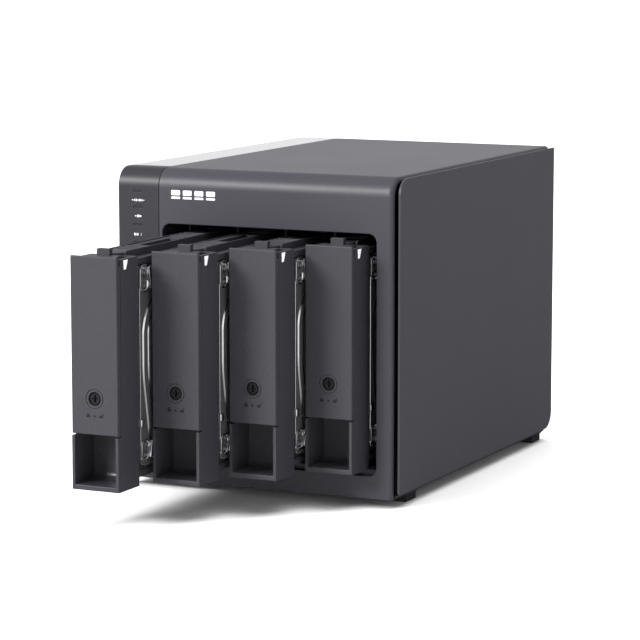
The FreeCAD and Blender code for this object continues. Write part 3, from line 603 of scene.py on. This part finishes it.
def lockMarks(number):
    # shut, a dot, open
    low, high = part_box(f"tray_{number}_lever")
    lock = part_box(f"tray_{number}_lock")
    x = (low.x + high.x) / 2
    z = lock[0].z - 5.2 * mm
    bars = []
    for name, (shift, rise, wide, tall) in lockSigns.items():
        bar = block(name, (x + (shift - wide / 2) * mm, low.y - 0.03 * mm, z + (rise - tall / 2) * mm),
                    (x + (shift + wide / 2) * mm, low.y + 0.1 * mm, z + (rise + tall / 2) * mm))
        softEdges(bar, 0.04 * mm)
        bars.append(bar)
    marks = joined(f"lockMarks{number}", bars)
    return place(marks, f"lever_{number}", finishes["lockPlastic"], "lock_plastic")


topLook = {"nose": 3.8, "noseRound": 3.2, "ridge": 0.7, "rise": 0.55, "edge": 0.18,
           "ribs": [12.6, 17.6, 22.6, 70.6, 75.6, 80.6, 85.6]}


def topRidges(number):
    # rounded nose, two long ridges and short cross ribs on the strip over the drive
    low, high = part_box(f"tray_{number}_strips")
    height = high.z
    nose = block(f"nose{number}", (low.x + 1.2 * mm, low.y - topLook["nose"] * mm, height - 1.4 * mm),
                 (high.x - 1.2 * mm, low.y + 1 * mm, height))
    pick(nose, "EDGE", lambda edge: (runsAlong(nose.data, edge, 2)
                                     and edgeEnds(nose.data, edge)[0].y < low.y))
    bpy.ops.mesh.bevel(offset=topLook["noseRound"] * mm, segments=6)
    bpy.ops.object.mode_set(mode="OBJECT")
    softEdges(nose, 0.35 * mm)
    things = [nose]
    for left in (low.x, high.x - topLook["ridge"] * mm):
        ridge = block(f"ridge{number}", (left, low.y + 1 * mm, height - 0.1 * mm),
                      (left + topLook["ridge"] * mm, high.y, height + topLook["rise"] * mm))
        softEdges(ridge, topLook["edge"] * mm)
        things.append(ridge)
    for start in topLook["ribs"]:
        y = low.y + start * mm
        rib = block(f"rib{number}", (low.x + 0.6 * mm, y, height - 0.1 * mm),
                    (high.x - 0.6 * mm, y + 0.7 * mm, height + topLook["rise"] * 0.8 * mm))
        softEdges(rib, topLook["edge"] * mm)
        things.append(rib)
    ridges = joined(f"topRidges{number}", things)
    return place(ridges, f"tray_{number}", finishes["trayPlastic"], "tray_plastic")


pocketLook = {"front": 0.8, "rear": 19.4, "side": 0.7, "low": 20.6, "high": 47}


def pocketFinish(carrier):
    # the moulded inside of the finger pocket is smoother than the grained outside, and its tone is
    # painted slightly lighter to lift the shade in the recess
    carrier.data.materials.append(finishes["pocketPlastic"])
    low, high = carrier.bound_box[0], carrier.bound_box[6]
    centre, side = (low[0] + high[0]) / 2, (high[0] - low[0]) / 2 - pocketLook["side"] * mm
    front, rear = low[1] + pocketLook["front"] * mm, low[1] + pocketLook["rear"] * mm
    for face in carrier.data.polygons:
        x, y, z = face.center
        tall = pocketLook["low"] * mm < z < pocketLook["high"] * mm
        if tall and front < y < rear and abs(x - centre) < side:
            face.material_index = 1


for number in range(1, 5):
    for part, width in trayEdges.items():
        node = f"tray_{number}_{part}"
        finish = {"lock": "lockPlastic", "light_guide": "paleGuide"}.get(part, "trayPlastic")
        pieceName = "tray" + "".join(word.title() for word in part.split("_")) + str(number)
        piece = softened(node, pieceName, width * mm, finishes[finish])
        if part == "carrier":
            pocketFinish(piece)
    softened(f"drive_{number}_casting", f"driveCasting{number}", 0.5 * mm, finishes["driveCasting"])
    driveLid(number)
    lockMarks(number)
    topRidges(number)
print("trays made")

onlySelect()
bpy.ops.mesh.primitive_plane_add(size=60, location=(0, 0, 0))
floor = bpy.context.active_object
floor.name = "floor"
floorFinish = Finish("floorWhite")
floorTone = floorFinish.noise(6, 2)
floor.data.materials.append(floorFinish.set(
    Base_Color=floorFinish.mix(floorTone, (0.94, 0.94, 0.94, 1), (0.96, 0.96, 0.96, 1)), Roughness=0.8))
floor.visible_glossy = False

# the softbox gives the bright line along the rounded top edge, the big soft sun only fills
softboxLook = {"place": (-1.25, -2.2, 1.5), "aim": (0, 0, 0.1), "size": 0.9, "power": 104}
fillLook = {"height": 2, "power": 4.2, "spread": 80}
onlySelect()
bpy.ops.object.light_add(type="AREA", location=softboxLook["place"])
softbox = bpy.context.active_object
softbox.name = "frontSoft"
softbox.data.energy = softboxLook["power"]
softbox.data.size = softboxLook["size"]
aim = Vector(softboxLook["aim"]) - Vector(softboxLook["place"])
softbox.rotation_euler = aim.to_track_quat("-Z", "Y").to_euler()

bpy.ops.object.light_add(type="SUN", location=(0, 0, fillLook["height"]))
fill = bpy.context.active_object
fill.name = "overheadFill"
fill.data.energy = fillLook["power"]
fill.data.angle = math.radians(fillLook["spread"])
fill.visible_glossy = False

# brightness of the studio around: at the horizon, overhead, behind on the right, and under the floor
skyLook = {"horizon": 1.06, "overhead": 0.36, "rearRight": 0.5, "below": 0.3,
           "rearShare": 1.4, "tint": (0.985, 0.985, 1.0)}


def faded(nodes, socket, low, high, start, end):
    # a smooth change from start to end as the socket's number goes from low to high
    fade = nodes.nodes.new("ShaderNodeMapRange")
    fade.interpolation_type = "SMOOTHSTEP"
    for name, value in {"From Min": low, "From Max": high, "To Min": start, "To Max": end}.items():
        fade.inputs[name].default_value = value
    nodes.links.new(socket, fade.inputs["Value"])
    return fade.outputs["Result"]


world = bpy.data.worlds.new("studio")
scene.world = world
world.use_nodes = True
skyNodes = world.node_tree
background = skyNodes.nodes["Background"]
direction = skyNodes.nodes.new("ShaderNodeTexCoord")
split = skyNodes.nodes.new("ShaderNodeSeparateXYZ")
skyNodes.links.new(direction.outputs["Generated"], split.inputs["Vector"])
upward = faded(skyNodes, split.outputs["Z"], 0.05, 0.75, skyLook["horizon"], skyLook["overhead"])
rearRight = skyNodes.nodes.new("ShaderNodeMath")
rearRight.operation = "MULTIPLY_ADD"
rearRight.inputs[1].default_value = skyLook["rearShare"]
skyNodes.links.new(split.outputs["Y"], rearRight.inputs[0])
skyNodes.links.new(split.outputs["X"], rearRight.inputs[2])
sideways = faded(skyNodes, rearRight.outputs[0], 1.12, 1.5, 1.0, skyLook["rearRight"])
downward = faded(skyNodes, split.outputs["Z"], -0.35, -0.01, skyLook["below"], 1.0)
strength = upward
for factor in (sideways, downward):
    product = skyNodes.nodes.new("ShaderNodeMath")
    product.operation = "MULTIPLY"
    skyNodes.links.new(strength, product.inputs[0])
    skyNodes.links.new(factor, product.inputs[1])
    strength = product.outputs[0]
skyNodes.links.new(strength, background.inputs["Strength"])
background.inputs["Color"].default_value = skyLook["tint"] + (1.0,)
scene.view_settings.view_transform = "Standard"

cameraLook = {"place": (0.63775, -1.33349, 0.29824), "yaw": 0.4403, "down": 0.1431, "lens": 158.17,
              "sensor": 36, "farthest": 60}
onlySelect()
bpy.ops.object.camera_add(location=cameraLook["place"],
                          rotation=(math.pi / 2 - cameraLook["down"], 0, cameraLook["yaw"]))
camera = bpy.context.active_object
camera.name = "camera"
camera.data.lens = cameraLook["lens"]
camera.data.sensor_width = cameraLook["sensor"]
camera.data.clip_end = cameraLook["farthest"]
scene.camera = camera
print("stage set")

bpy.context.view_layer.update()
